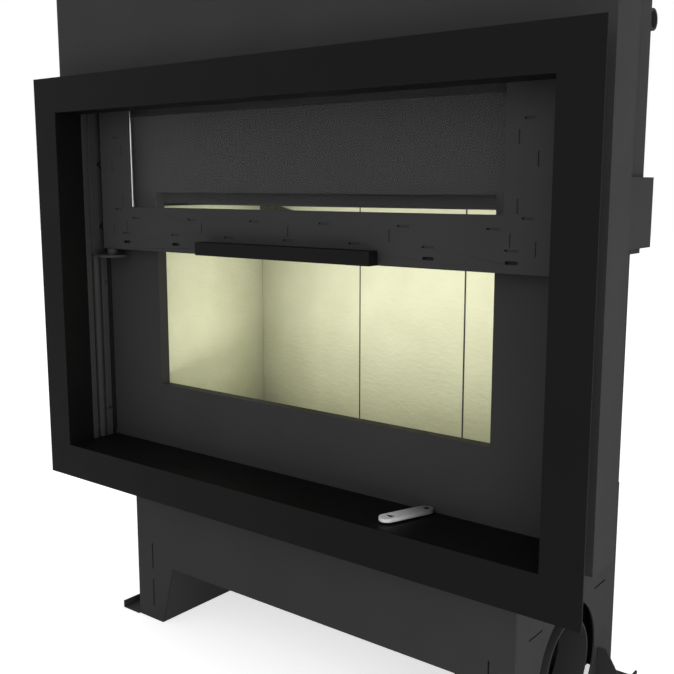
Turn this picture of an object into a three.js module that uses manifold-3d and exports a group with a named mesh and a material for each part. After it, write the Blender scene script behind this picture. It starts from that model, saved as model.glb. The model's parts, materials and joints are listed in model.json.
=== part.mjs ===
// Steel fireplace insert with a lifting glass door, counterweights and an adjustable air supply.
// Millimetres, +Z up. Inside the model group y is counted from the front face of the black portal
// ring, and the group then moves so that the origin is the centre of the footprint on the floor.
import * as THREE from "three";
import { mergeVertices } from "three/addons/utils/BufferGeometryUtils.js";
import Module from "manifold-3d";

const wasm = await Module();
wasm.setup();

// ---------- driving dimensions ----------
const clearance = 0.3; // seat between two pieces that touch
const runningGap = 1.0; // between pieces that slide past each other

// portal: the black ring around the door window
const portalWidth = 1047;
const portalBottom = 278;
const portalTop = 986;
const ringWidth = 59;
const ringSide = 57.8;
const ringPlate = 3;
const sleeveWall = 3;

// door housing: the flat steel box in which the door travels
const ringOverhang = 9.2;
const housingWidth = portalWidth - 2 * ringOverhang;
const housingFront = 49;
const housingBottom = 329;
const housingTop = 1512;
const sheet = 3;
const sleeveProud = 1.5;
const facePlateFront = 109;

// opening of the combustion chamber in the face plate
const openingSide = 58.7;
const openingBottom = 449;
const openingTop = 791;
const surroundDepth = 19;
const sealBottom = 923;
const sealHeight = 30;
const sealGap = 3;

// firebox
const shoulder = 120.6; // step from the side of the housing to the side of the firebox
const fireboxWidth = housingWidth - 2 * shoulder;
const openingWidth = fireboxWidth - 2 * openingSide;
const fireboxBack = 433;
const fireboxTop = 1130;
const shellWall = 4;
const sideLining = 25.8;
const backLiningFace = 409;
const liningFloor = 25;
const liningTop = 767.5;
const backPanelWidth = 229;
const backJoint = 1.4;
const baffleFront = 234;
const baffleThickness = 8;
const lintelBottom = 773;
const lintelThickness = 4;
const rearChannelBack = 473;
const rearChannelBottom = 697;
const manifoldBottom = 706;
const manifoldTop = 816;
const manifoldProud = 10.3;
const manifoldDepth = 17;
const flueRadius = 100;
const flueWall = 3;
const flueHeight = 100;
const flueY = 275;

// lifting tube across the rear
const liftTubeRadius = 17;
const liftTubeBore = 13;
const liftTubeInset = 3.2;
const liftTubeLength = fireboxWidth - 2 * liftTubeInset;
const liftTubeZ = 1057;

// base
const baseFront = 89;
const baseBack = 436;
const legTopWidth = 95.2;
const legFloorWidth = 64.7;
const archHeight = 112;
const ribInset = 42.4;
const sideCutRadius = 100;
const spigotZ = 80;
const spigotRadius = 73;
const spigotWall = 3;
const spigotLength = 48;
const footLength = 62;
const footReach = 44.3;
const footLip = 13.5;
const gussetHeight = 65;
const gussetTop = 14;

// door, as it hangs in the half-open position of the photograph
const doorSideGap = 23.4;
const doorHeight = 583;
const doorBottom = 691.6;
const doorFront = 75;
const doorDepth = 19;
const stileWidth = 78.7;
const bottomRail = 74.7;
const topRail = 60;
const glassThickness = 4;
const glassLap = 10;
const backingPlate = 2;
const rodRadius = 4.4;
const rodInset = 9;
const handleLength = 347;
const handleHeight = 21;
const handleDepth = 21.7;
const handleStandoff = 7.7;

// lift gear
const railInset = 0.7;
const railWidth = 21;
const railLip = 10.7;
const grooveWidth = 5.6;
const shaftRadius = 7.6;
const carriagePlate = 4;
const lugThickness = 4;
const lugDrop = 11;
const lugRadius = 26;
const lugInset = 39.5;
const lugY = 80;
const hingePinRadius = 8.5;
const cableInset = 12;
const cableY = 83;
const cableRadius = 1.5;
const pulleyRadius = 36;
const pulleyRim = 39;
const pulleyWidth = 8;
const bracketPlate = 4;
const pulleyDrop = 40;
const axleRadius = 5;
const weightWidth = 38;
const weightDepth = 48;
const weightHeight = 430;
const weightTop = 1030;
const channelWall = 2;
const channelDrop = 45;
const carriageReach = 308.4;

// air control
const leverInset = 109.9; // from the right rib, as the port and the guides are
const leverY = 98;
const leverZ = 339.8;
const leverThickness = 5;
const leverLength = 80.8;
const leverWidth = 24;
const leverSetback = 2.5;
const leverRecess = 4.2;
const leverTurn = THREE.MathUtils.degToRad(-20.5);
const leverShaft = 4;
const crankArm = 32;
const crankEnd = 5.5;
const crankPin = 3;
const shutterZ = 322.3;
const shutterThickness = 3;
const shutterBack = 328;
const shutterLength = 120;
const shutterRun = 158;
const portWidth = 36;
const portInset = 15.3;

// ---------- derived sizes ----------
const windowHalf = portalWidth / 2 - ringSide;
const windowBottom = portalBottom + ringWidth;
const windowTop = portalTop - ringWidth;
const housingHalf = housingWidth / 2;
const housingInner = housingHalf - sheet;
const sleeveBack = housingFront + sheet + sleeveProud;
const facePlateBack = facePlateFront + sheet;
const fireboxHalf = fireboxWidth / 2;
const fireboxFront = facePlateBack + clearance;
const shellInner = fireboxHalf - shellWall;
const chamberHalf = shellInner - clearance - sideLining;
const shellFloor = housingBottom + shellWall;
const shellBackInner = fireboxBack - shellWall;
const baseTop = housingBottom - clearance;
const baseMiddle = (baseFront + baseBack) / 2;
const archTopWidth = fireboxWidth - 2 * legTopWidth;
const archFloorWidth = fireboxWidth - 2 * legFloorWidth;
const ribX = fireboxHalf - ribInset;
const leverX = ribX - leverInset;
const doorHalf = windowHalf - doorSideGap;
const doorTop = doorBottom + doorHeight;
const doorBack = doorFront + doorDepth;
const doorWindowHalf = doorHalf - stileWidth;
const rodX = doorWindowHalf + rodInset;
const railFace = windowHalf - railInset;
const cableX = railFace - cableInset;
const lugX = railFace - lugInset;
const railFront = sleeveBack + clearance;
const lipBack = railFront + railLip;
const shaftY = lipBack + grooveWidth + shaftRadius;
const pocketBack = shaftY + shaftRadius + clearance;
const pocketX = railFace + 2 * shaftRadius + clearance;
const railBack = pocketBack + 12.5;
const railOuter = railFace + railWidth;
const railBottom = windowBottom + clearance;
const pulleyZ = housingTop - pulleyDrop;
const notchBottom = pulleyZ - pulleyRim - 8;
const channelTop = notchBottom - channelDrop;
const railTop = notchBottom - 6;
const lugTop = doorBottom - lugDrop;
const carriageTop = doorBottom + carriageReach;
const shutterFront = facePlateBack + clearance + 3.2;
const weightY = cableY + 2 * pulleyRadius;
const pulleyY = cableY + pulleyRadius;
const overallDepth = rearChannelBack + 1 + 2 * liftTubeRadius;

// ---------- materials ----------
const paint = (color, roughness = 0.6, metalness = 0.3) =>
  new THREE.MeshStandardMaterial({ color, roughness, metalness });
const bodyPaint = () => paint(0x3b3b3b);
const portalPaint = () => paint(0x1d1d1d);
const handlePaint = () => paint(0x151515, 0.45);
const rawSteel = () => paint(0x7a7a78, 0.4, 0.9);
const chromeSteel = () => paint(0xd8d8d8, 0.12, 1);
const lining = () => paint(0xd9dba6, 0.95, 0);
const clearGlass = () =>
  new THREE.MeshStandardMaterial({ color: 0xdfe6e4, roughness: 0.05, transparent: true, opacity: 0.25 });

// ---------- geometry helpers ----------
const parts = [];

function addPart(name, geometry, material) {
  const mesh = new THREE.Mesh(geometry, material);
  mesh.name = name;
  parts.push(mesh);
  return mesh;
}

// a block between two corners
function block(x0, x1, y0, y1, z0, z1) {
  const geometry = new THREE.BoxGeometry(x1 - x0, y1 - y0, z1 - z0);
  return geometry.translate((x0 + x1) / 2, (y0 + y1) / 2, (z0 + z1) / 2);
}

function rectangle(a0, a1, b0, b1, Kind = THREE.Path) {
  const path = new Kind();
  path.moveTo(a0, b0);
  path.lineTo(a1, b0);
  path.lineTo(a1, b1);
  path.lineTo(a0, b1);
  path.closePath();
  return path;
}

function outline(points, holes = []) {
  const shape = new THREE.Shape(points.map(([a, b]) => new THREE.Vector2(a, b)));
  shape.holes = holes;
  return shape;
}

function circlePath(a, b, radius) {
  const path = new THREE.Path();
  path.absarc(a, b, radius, 0, 2 * Math.PI, true);
  return path;
}

function extrude(shape, depth, curveSegments = 24) {
  return new THREE.ExtrudeGeometry(shape, { depth, bevelEnabled: false, curveSegments });
}

// an outline drawn in (x, z), from y0 to y0 + depth
function frontPlate(shape, y0, depth, segments) {
  return extrude(shape, depth, segments)
    .rotateX(Math.PI / 2)
    .translate(0, y0 + depth, 0);
}

// an outline drawn in (y, z), from x0 to x0 + depth
function sidePlate(shape, x0, depth, segments) {
  return extrude(shape, depth, segments)
    .rotateY(Math.PI / 2)
    .rotateX(Math.PI / 2)
    .translate(x0, 0, 0);
}

// an outline drawn in (x, y), from z0 to z0 + depth
function topPlate(shape, z0, depth, segments) {
  return extrude(shape, depth, segments).translate(0, 0, z0);
}

function rod(radius, length, axis, x, y, z, sides = 24) {
  const geometry = new THREE.CylinderGeometry(radius, radius, length, sides);
  if (axis === "x") geometry.rotateZ(Math.PI / 2);
  if (axis === "z") geometry.rotateX(Math.PI / 2);
  return geometry.translate(x, y, z);
}

function toSolid(geometry) {
  const bare = geometry.index ? geometry.toNonIndexed() : geometry.clone();
  bare.deleteAttribute("normal");
  bare.deleteAttribute("uv");
  const merged = mergeVertices(bare, 1e-4);
  return new wasm.Manifold(
    new wasm.Mesh({
      numProp: 3,
      vertProperties: new Float32Array(merged.attributes.position.array),
      triVerts: new Uint32Array(merged.index.array),
    }),
  );
}

function toGeometry(solid) {
  const { vertProperties, triVerts, numProp } = solid.getMesh();
  const positions = new Float32Array(triVerts.length * 3);
  triVerts.forEach((vertex, corner) => {
    for (let k = 0; k < 3; k += 1) positions[corner * 3 + k] = vertProperties[vertex * numProp + k];
  });
  const geometry = new THREE.BufferGeometry();
  geometry.setAttribute("position", new THREE.BufferAttribute(positions, 3));
  geometry.computeVertexNormals();
  return geometry;
}

// the joined pieces of the first list, less those of the second
function carve(added, removed = []) {
  let solid = toSolid(added[0]);
  for (const geometry of added.slice(1)) solid = solid.add(toSolid(geometry));
  for (const geometry of removed) solid = solid.subtract(toSolid(geometry));
  return toGeometry(solid);
}

function mirrorX(geometry) {
  const flipped = (geometry.index ? geometry.toNonIndexed() : geometry.clone()).scale(-1, 1, 1);
  const position = flipped.attributes.position;
  for (let i = 0; i < position.count; i += 3) {
    const swap = new THREE.Vector3().fromBufferAttribute(position, i);
    position.setXYZ(i, position.getX(i + 1), position.getY(i + 1), position.getZ(i + 1));
    position.setXYZ(i + 1, swap.x, swap.y, swap.z);
  }
  flipped.computeVertexNormals();
  return flipped;
}

// the same piece on both sides: the given geometry is the right one
function addPair(name, geometry, material) {
  addPart(`${name}_right`, geometry, material());
  addPart(`${name}_left`, mirrorX(geometry), material());
}

// ---------- base ----------
function slotsInBaseFront() {
  const slotWidth = 3;
  const slotHeights = [
    [27, 79],
    [100, 149],
  ];
  const centre = ribX + slotWidth / 2;
  return [-1, 1].flatMap((side) =>
    slotHeights.map(([low, high]) =>
      rectangle(side * centre - slotWidth / 2, side * centre + slotWidth / 2, low, high),
    ),
  );
}

const archPoints = [
  [-archFloorWidth / 2, 0],
  [-archTopWidth / 2, archHeight],
  [archTopWidth / 2, archHeight],
  [archFloorWidth / 2, 0],
];

function basePanel(holes) {
  return outline(
    [[-fireboxHalf, 0], ...archPoints, [fireboxHalf, 0], [fireboxHalf, baseTop], [-fireboxHalf, baseTop]],
    holes,
  );
}

function baseSideShape() {
  const shape = new THREE.Shape();
  const cutHalf = Math.sqrt(sideCutRadius ** 2 - spigotZ ** 2);
  const startAngle = Math.atan2(-spigotZ, cutHalf);
  shape.moveTo(baseFront + sheet + clearance, 0);
  shape.lineTo(baseMiddle - cutHalf, 0);
  shape.absarc(baseMiddle, spigotZ, sideCutRadius, Math.PI - startAngle, startAngle, true);
  shape.lineTo(baseBack - sheet - clearance, 0);
  shape.lineTo(baseBack - sheet - clearance, baseTop);
  shape.lineTo(baseFront + sheet + clearance, baseTop);
  shape.closePath();
  const slotLength = 42;
  const slotHeight = 2.5;
  const slotZ = 175;
  for (const direction of [-1, 1]) {
    const centre = baseMiddle + direction * 112;
    shape.holes.push(
      rectangle(
        centre - slotLength / 2,
        centre + slotLength / 2,
        slotZ - slotHeight / 2,
        slotZ + slotHeight / 2,
      ),
    );
  }
  return shape;
}

function footBracket() {
  const inner = fireboxHalf + clearance;
  const outer = fireboxHalf + footReach;
  const gusset = outline([
    [inner, 0],
    [outer, 0],
    [outer, footLip],
    [inner + gussetTop, gussetHeight],
    [inner, gussetHeight],
  ]);
  return carve([
    block(inner, outer, -footLength, 0, 0, sheet),
    block(outer - sheet, outer, -footLength, 0, 0, footLip),
    frontPlate(gusset, -sheet, sheet),
  ]);
}

function buildBase() {
  addPart("base_front", frontPlate(basePanel(slotsInBaseFront()), baseFront, sheet), bodyPaint());
  addPart("base_back", frontPlate(basePanel([]), baseBack - sheet, sheet), bodyPaint());
  const inside = [baseFront + sheet + clearance, baseBack - sheet - clearance];
  addPair("base_side", sidePlate(baseSideShape(), fireboxHalf - sheet, sheet, 32), bodyPaint);

  const wall = 2;
  const arch = outline([
    ...archPoints,
    [archFloorWidth / 2 + wall, 0],
    [archTopWidth / 2 + wall, archHeight + wall],
    [-archTopWidth / 2 - wall, archHeight + wall],
    [-archFloorWidth / 2 - wall, 0],
  ]);
  addPart("base_arch_plate", frontPlate(arch, inside[0], inside[1] - inside[0]), bodyPaint());

  const rib = rectangle(inside[0], inside[1], 0, baseTop, THREE.Shape);
  addPart("base_rib_left", sidePlate(rib, -ribX - sheet, sheet), bodyPaint());
  const piercedRib = rectangle(inside[0], inside[1], 0, baseTop, THREE.Shape);
  piercedRib.holes.push(circlePath(baseMiddle, spigotZ, spigotRadius + clearance));
  addPart("base_rib_right", sidePlate(piercedRib, ribX, sheet, 32), bodyPaint());

  const rearFoot = footBracket();
  const placeFoot = (name, geometry, y, turned) => {
    const mesh = addPart(name, geometry, bodyPaint());
    mesh.position.y = y;
    mesh.rotation.z = turned ? Math.PI : 0;
  };
  const frontEdge = baseFront - sheet + footLength;
  const rearEdge = baseBack + sheet - footLength;
  placeFoot("foot_front_right", rearFoot, frontEdge, false);
  placeFoot("foot_front_left", mirrorX(rearFoot), frontEdge, false);
  placeFoot("foot_rear_left", rearFoot, rearEdge, true);
  placeFoot("foot_rear_right", mirrorX(rearFoot), rearEdge, true);
}

// ---------- air supply ----------
const airPort = {
  x0: ribX - portInset - portWidth,
  x1: ribX - portInset,
  y0: baseMiddle - 55,
  y1: baseMiddle + 55,
};

function buildAirSupply() {
  const ring = new THREE.Shape();
  ring.absarc(baseMiddle, spigotZ, spigotRadius, 0, 2 * Math.PI, false);
  ring.holes.push(circlePath(baseMiddle, spigotZ, spigotRadius - spigotWall));
  addPart("air_spigot", sidePlate(ring, fireboxHalf - spigotLength, spigotLength, 36), bodyPaint());

  // duct beside the arch that turns the air upwards, open at the top and towards the spigot
  const wall = 2;
  const boxTop = shutterZ - 4;
  const boxX = airPort.x0 - 14;
  const open = ribX - clearance;
  const halfDepth = spigotRadius + 6;
  const slope = (archFloorWidth - archTopWidth) / 2 / archHeight;
  const archAt = (z) => archFloorWidth / 2 - slope * z + 3;
  const low = 4;
  const duct = (grow, bottom, right, top) =>
    outline([
      [archAt(bottom) + grow, bottom],
      [right, bottom],
      [right, top],
      [boxX + grow, top],
      [boxX + grow, archHeight + 6 + grow],
      [archAt(archHeight) + grow, archHeight + 6 + grow],
    ]);
  addPart(
    "air_box",
    carve(
      [frontPlate(duct(0, low, open, boxTop), baseMiddle - halfDepth, 2 * halfDepth)],
      [
        frontPlate(
          duct(wall, low + wall, open + 10, boxTop + 10),
          baseMiddle - halfDepth + wall,
          2 * (halfDepth - wall),
        ),
      ],
    ),
    rawSteel(),
  );
}

// ---------- firebox ----------
function buildFirebox() {
  const surroundOuter = sleeveWall + clearance;
  const guideFoot = 6;
  const guides = [
    [fireboxFront, fireboxFront + 2.6, fireboxFront, fireboxFront + guideFoot],
    [shutterBack + 0.6, shutterBack + 3.2, shutterBack + 3.2 - guideFoot, shutterBack + 3.2],
  ];
  const footBottom = shutterZ - clearance - 2;
  const guideEnd = ribX - 3.3;
  const guideStart = guideEnd - shutterRun;
  const guideBlocks = guides.flatMap(([wall0, wall1, foot0, foot1]) => [
    block(guideStart, guideEnd, wall0, wall1, footBottom, housingBottom + 1),
    block(guideStart, guideEnd, foot0, foot1, footBottom, shutterZ - clearance),
  ]);
  addPart(
    "firebox_shell",
    carve(
      [
        block(-fireboxHalf, fireboxHalf, fireboxFront, fireboxBack, housingBottom, fireboxTop),
        ...guideBlocks,
      ],
      [
        block(
          -shellInner,
          shellInner,
          fireboxFront + shellWall,
          shellBackInner,
          shellFloor,
          fireboxTop - shellWall,
        ),
        block(
          -openingWidth / 2 - surroundOuter,
          openingWidth / 2 + surroundOuter,
          fireboxFront - 1,
          fireboxFront + shellWall + 1,
          openingBottom - surroundOuter,
          openingTop + surroundOuter,
        ),
        rod(flueRadius + clearance, 20, "z", 0, flueY, fireboxTop, 48),
        block(airPort.x0, airPort.x1, airPort.y0, airPort.y1, housingBottom - 1, shellFloor + 1),
      ],
    ),
    bodyPaint(),
  );

  const channelX = [-fireboxHalf, fireboxHalf];
  const channelFront = fireboxBack + clearance;
  addPart(
    "rear_channel",
    carve(
      [block(...channelX, channelFront, rearChannelBack, rearChannelBottom, fireboxTop)],
      [
        block(
          channelX[0] + sheet,
          channelX[1] - sheet,
          channelFront - 1,
          rearChannelBack - sheet,
          rearChannelBottom - 1,
          fireboxTop - sheet,
        ),
      ],
    ),
    bodyPaint(),
  );

  const manifoldHalf = fireboxHalf + manifoldProud;
  const manifoldFront = fireboxBack - 38;
  const manifoldBack = rearChannelBack + manifoldDepth;
  const manifoldShape = (inset) => [
    [-manifoldHalf + inset, manifoldFront + inset],
    [-fireboxHalf - clearance - inset, manifoldFront + inset],
    [-fireboxHalf - clearance - inset, rearChannelBack + clearance + inset],
    [fireboxHalf + clearance + inset, rearChannelBack + clearance + inset],
    [fireboxHalf + clearance + inset, manifoldFront + inset],
    [manifoldHalf - inset, manifoldFront + inset],
    [manifoldHalf - inset, manifoldBack - inset],
    [-manifoldHalf + inset, manifoldBack - inset],
  ];
  addPart(
    "rear_air_manifold",
    carve(
      [topPlate(outline(manifoldShape(0)), manifoldBottom, manifoldTop - manifoldBottom)],
      [topPlate(outline(manifoldShape(2)), manifoldBottom - 1, manifoldTop - manifoldBottom - 1)],
    ),
    bodyPaint(),
  );

  const tubeY = rearChannelBack + 1 + liftTubeRadius;
  const saddleX = liftTubeLength / 2 - 90.5;
  const saddle = (x) =>
    block(x - 3, x + 3, rearChannelBack + clearance, tubeY, liftTubeZ - 22, liftTubeZ + 22);
  addPart(
    "rear_lifting_tube",
    carve(
      [
        rod(liftTubeRadius, liftTubeLength, "x", 0, tubeY, liftTubeZ, 32),
        saddle(-saddleX),
        saddle(saddleX),
      ],
      [rod(liftTubeBore, liftTubeLength + 2, "x", 0, tubeY, liftTubeZ, 32)],
    ),
    bodyPaint(),
  );

  const collar = [
    [flueRadius - flueWall, -12],
    [flueRadius, -12],
    [flueRadius, clearance],
    [flueRadius + 25, clearance],
    [flueRadius + 25, clearance + sheet],
    [flueRadius, clearance + sheet],
    [flueRadius, flueHeight],
    [flueRadius - flueWall, flueHeight],
    [flueRadius - flueWall, -12],
  ].map(([r, z]) => new THREE.Vector2(r, z));
  const collarGeometry = new THREE.LatheGeometry(collar, 48).rotateX(Math.PI / 2);
  const collarMesh = addPart("flue_collar", collarGeometry, bodyPaint());
  collarMesh.position.set(0, flueY, fireboxTop);
}

function buildLining() {
  const low = shellFloor + clearance;
  const standing = low + liningFloor + clearance;
  const front = facePlateFront + surroundDepth + lintelThickness + 2;
  const outer = shellInner - clearance;
  const back = shellBackInner - clearance;
  addPart("lining_floor", block(-outer, outer, front, back, low, low + liningFloor), lining());
  addPair("lining_side", block(chamberHalf, outer, front, back, standing, liningTop), lining);

  const edge = chamberHalf - clearance;
  const joint = backPanelWidth / 2;
  const backPanels = {
    lining_back_left: [-edge, -joint - backJoint / 2],
    lining_back_middle: [-joint + backJoint / 2, joint - backJoint / 2],
    lining_back_right: [joint + backJoint / 2, edge],
  };
  for (const [name, [x0, x1]] of Object.entries(backPanels)) {
    addPart(name, block(x0, x1, backLiningFace, back, standing, liningTop), lining());
  }

  const baffleBottom = liningTop + clearance;
  const baffleTop = baffleBottom + baffleThickness;
  addPart("baffle_plate", block(-outer, outer, baffleFront, back, baffleBottom, baffleTop), rawSteel());

  const bracketTop = liningTop;
  const bracket = outline([
    [edge, bracketTop],
    [edge - 34.3, bracketTop],
    [edge - 95.3, bracketTop - 15.5],
    [edge - 95.3, bracketTop - 68],
    [edge, bracketTop - 68],
  ]);
  const bracketThickness = 4;
  addPair(
    "baffle_bracket",
    frontPlate(bracket, backLiningFace - clearance - bracketThickness, bracketThickness),
    rawSteel,
  );

  const lintelFront = facePlateFront + surroundDepth + clearance;
  const lintelTop = 850;
  addPart(
    "lintel_deflector",
    carve([
      block(-outer, outer, lintelFront, lintelFront + lintelThickness, lintelBottom, lintelTop),
      block(
        -outer,
        outer,
        fireboxFront + shellWall + clearance,
        lintelFront + lintelThickness,
        lintelTop - lintelThickness,
        lintelTop,
      ),
    ]),
    bodyPaint(),
  );
}

// ---------- portal and housing ----------
function buildHousing() {
  const ringOuter = rectangle(-portalWidth / 2, portalWidth / 2, portalBottom, portalTop, THREE.Shape);
  ringOuter.holes.push(rectangle(-windowHalf, windowHalf, windowBottom, windowTop));
  const sleeve = rectangle(
    -windowHalf - sleeveWall,
    windowHalf + sleeveWall,
    windowBottom - sleeveWall,
    windowTop + sleeveWall,
    THREE.Shape,
  );
  sleeve.holes.push(rectangle(-windowHalf, windowHalf, windowBottom, windowTop));
  const sillBack = facePlateFront - clearance;
  addPart(
    "portal_frame",
    carve(
      [
        frontPlate(ringOuter, 0, ringPlate),
        frontPlate(sleeve, ringPlate - 1, sleeveBack - ringPlate + 1),
        block(-windowHalf, windowHalf, ringPlate, sillBack, windowBottom - sleeveWall, windowBottom),
      ],
      [rod(leverShaft + 0.5, 20, "z", leverX, leverY, windowBottom)],
    ),
    portalPaint(),
  );

  const sleeveRoom = sleeveWall + clearance;
  const front = rectangle(-housingHalf, housingHalf, housingBottom, housingTop - clearance, THREE.Shape);
  front.holes.push(
    rectangle(
      -windowHalf - sleeveRoom,
      windowHalf + sleeveRoom,
      windowBottom - sleeveRoom,
      windowTop + sleeveRoom,
    ),
  );
  const flange = (x0) =>
    block(x0, x0 + sheet, housingFront + 1, facePlateBack, housingBottom, housingTop - clearance);
  addPart(
    "housing_shell",
    carve(
      [
        frontPlate(front, housingFront, sheet),
        flange(-housingHalf),
        flange(housingInner),
        block(
          -housingHalf,
          housingHalf,
          housingFront,
          facePlateFront - clearance,
          housingBottom,
          housingBottom + sheet,
        ),
      ],
      [rod(leverShaft + 0.5, 20, "z", leverX, leverY, housingBottom)],
    ),
    bodyPaint(),
  );

  const topBack = weightY + 45;
  const lid = rectangle(-housingHalf, housingHalf, housingFront, topBack, THREE.Shape);
  addPart("housing_top", topPlate(lid, housingTop, sheet), bodyPaint());

  const faceHalf = housingInner - clearance;
  const faceTop = housingTop - clearance;
  const notch = { x: cableX - 15, z: notchBottom };
  const face = outline(
    [
      [-faceHalf, housingBottom],
      [faceHalf, housingBottom],
      [faceHalf, notch.z],
      [notch.x, notch.z],
      [notch.x, faceTop],
      [-notch.x, faceTop],
      [-notch.x, notch.z],
      [-faceHalf, notch.z],
    ],
    [rectangle(-openingWidth / 2, openingWidth / 2, openingBottom, openingTop)],
  );
  const surround = rectangle(
    -openingWidth / 2 - sleeveWall,
    openingWidth / 2 + sleeveWall,
    openingBottom - sleeveWall,
    openingTop + sleeveWall,
    THREE.Shape,
  );
  surround.holes.push(rectangle(-openingWidth / 2, openingWidth / 2, openingBottom, openingTop));
  const sealHalf = doorHalf - 5;
  const sealFront = doorBack + sealGap;
  addPart(
    "face_plate",
    carve([
      frontPlate(face, facePlateFront, sheet),
      frontPlate(surround, facePlateFront + 1, surroundDepth - 1),
      block(-sealHalf, sealHalf, sealFront, facePlateFront + 1, sealBottom, sealBottom + sealHeight),
    ]),
    bodyPaint(),
  );
}

// ---------- guide rails, pulleys and counterweight channels ----------
function buildLiftGear() {
  const plateFront = facePlateFront - clearance;
  const foot = 20;
  const rail = outline([
    [railFace, railFront],
    [railOuter, railFront],
    [railOuter, plateFront - sheet],
    [railOuter + foot, plateFront - sheet],
    [railOuter + foot, plateFront],
    [railOuter - sheet, plateFront],
    [railOuter - sheet, railBack],
    [railFace, railBack],
    [railFace, pocketBack],
    [pocketX, pocketBack],
    [pocketX, lipBack],
    [railFace, lipBack],
  ]);
  addPair("guide_rail", topPlate(rail, railBottom, railTop - railBottom), bodyPaint);
  const railMiddle = (railBottom + railTop) / 2;
  addPair(
    "guide_shaft",
    rod(shaftRadius, railTop - railBottom, "z", railFace + shaftRadius, shaftY, railMiddle, 20),
    rawSteel,
  );

  // bracket with its axle, under the housing top and behind the face plate
  const bracketX = cableX + pulleyWidth / 2 + runningGap;
  const bracketTop = housingTop - clearance;
  const bracketLow = notchBottom - 36;
  const behindFace = facePlateBack + clearance;
  const axleEnd = cableX - pulleyWidth / 2 - runningGap / 2;
  const headLength = 2.4;
  const arm = outline([
    [pulleyY - 24, notchBottom + runningGap],
    [behindFace, notchBottom + runningGap],
    [behindFace, bracketLow],
    [behindFace + sheet, bracketLow],
    [behindFace + sheet, notchBottom],
    [pulleyY + 24, pulleyZ - 24],
    [pulleyY + 24, bracketTop],
    [pulleyY - 24, bracketTop],
  ]);
  addPair(
    "pulley_bracket",
    carve([
      sidePlate(arm, bracketX, bracketPlate),
      block(bracketX, bracketX + 44, pulleyY - 24, pulleyY + 24, bracketTop - sheet, bracketTop),
      block(bracketX, bracketX + 40, behindFace, behindFace + sheet, bracketLow, notchBottom),
      rod(axleRadius, bracketX - axleEnd + 1, "x", (bracketX + axleEnd + 1) / 2, pulleyY, pulleyZ, 24),
      rod(axleRadius + 3, headLength, "x", axleEnd - headLength / 2, pulleyY, pulleyZ, 24),
    ]),
    rawSteel,
  );

  const channelHalf = weightWidth / 2 + 2.5;
  const channelBack = weightY + weightDepth / 2 + 2.5;
  const channel = outline([
    [cableX - channelHalf - channelWall, behindFace],
    [cableX - channelHalf, behindFace],
    [cableX - channelHalf, channelBack],
    [cableX + channelHalf, channelBack],
    [cableX + channelHalf, behindFace],
    [cableX + channelHalf + channelWall, behindFace],
    [cableX + channelHalf + channelWall, channelBack + channelWall],
    [cableX - channelHalf - channelWall, channelBack + channelWall],
  ]);
  addPair("counterweight_channel", topPlate(channel, railBottom, channelTop - railBottom), bodyPaint);
}

// ---------- what moves with the door ----------
function slot(a, b, length, height, upright) {
  const [halfA, halfB] = upright ? [height / 2, length / 2] : [length / 2, height / 2];
  return rectangle(a - halfA, a + halfA, b - halfB, b + halfB, THREE.Shape);
}

function roundedSlot(a, b, length, height) {
  const radius = height / 2;
  const reach = length / 2 - radius;
  const path = new THREE.Shape();
  path.absarc(a + reach, b, radius, -Math.PI / 2, Math.PI / 2, false);
  path.absarc(a - reach, b, radius, Math.PI / 2, 1.5 * Math.PI, false);
  path.closePath();
  return path;
}

// laser-cut slots of the door frame: three staggered rows below the glass and a column on each stile
function doorSlots() {
  const pitch = (doorHalf - 65.2) / 3;
  const upperPitch = (doorHalf - 91.8) / 2.5;
  const middlePitch = (doorHalf - 67.5) / 2;
  const slit = 2.5;
  const mirrored = (x) => (x === 0 ? [0] : [x, -x]);
  const lower = [0, 1, 2, 3].map((k) => k * pitch).flatMap(mirrored);
  const upper = [0.5, 1.5, 2.5].map((k) => k * upperPitch).flatMap(mirrored);
  const middle = [0, 1, 2].map((k) => k * middlePitch).flatMap(mirrored);
  const holes = [
    ...lower.map((x) => slot(x, doorBottom + 29.4, 20, slit, false)),
    ...lower.map((x) => roundedSlot(x, doorBottom + 13.9, 18.5, 4.5)),
    ...upper.map((x) => slot(x, doorBottom + 56.4, 20, slit, false)),
    ...middle.map((x) => slot(x, doorBottom + 42.4, 16, slit, true)),
  ];
  const stilePitch = (doorHeight - 88.6) / 4;
  const stileX = doorHalf - 44.3;
  for (const side of [-1, 1]) {
    for (let k = 0; k < 4; k += 1) {
      const z = doorBottom + 70.8 + k * stilePitch;
      holes.push(slot(side * stileX, z, 15, slit, false));
      holes.push(slot(side * (stileX + 13.1), z - (k === 0 ? 37.9 : 50.5), 18, slit, true));
      if (k > 0) holes.push(slot(side * (stileX - 14), z - 23, 18, slit, true));
    }
    holes.push(slot(side * (stileX - 14), doorBottom + 85.4, 18, slit, true));
  }
  return holes;
}

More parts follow.
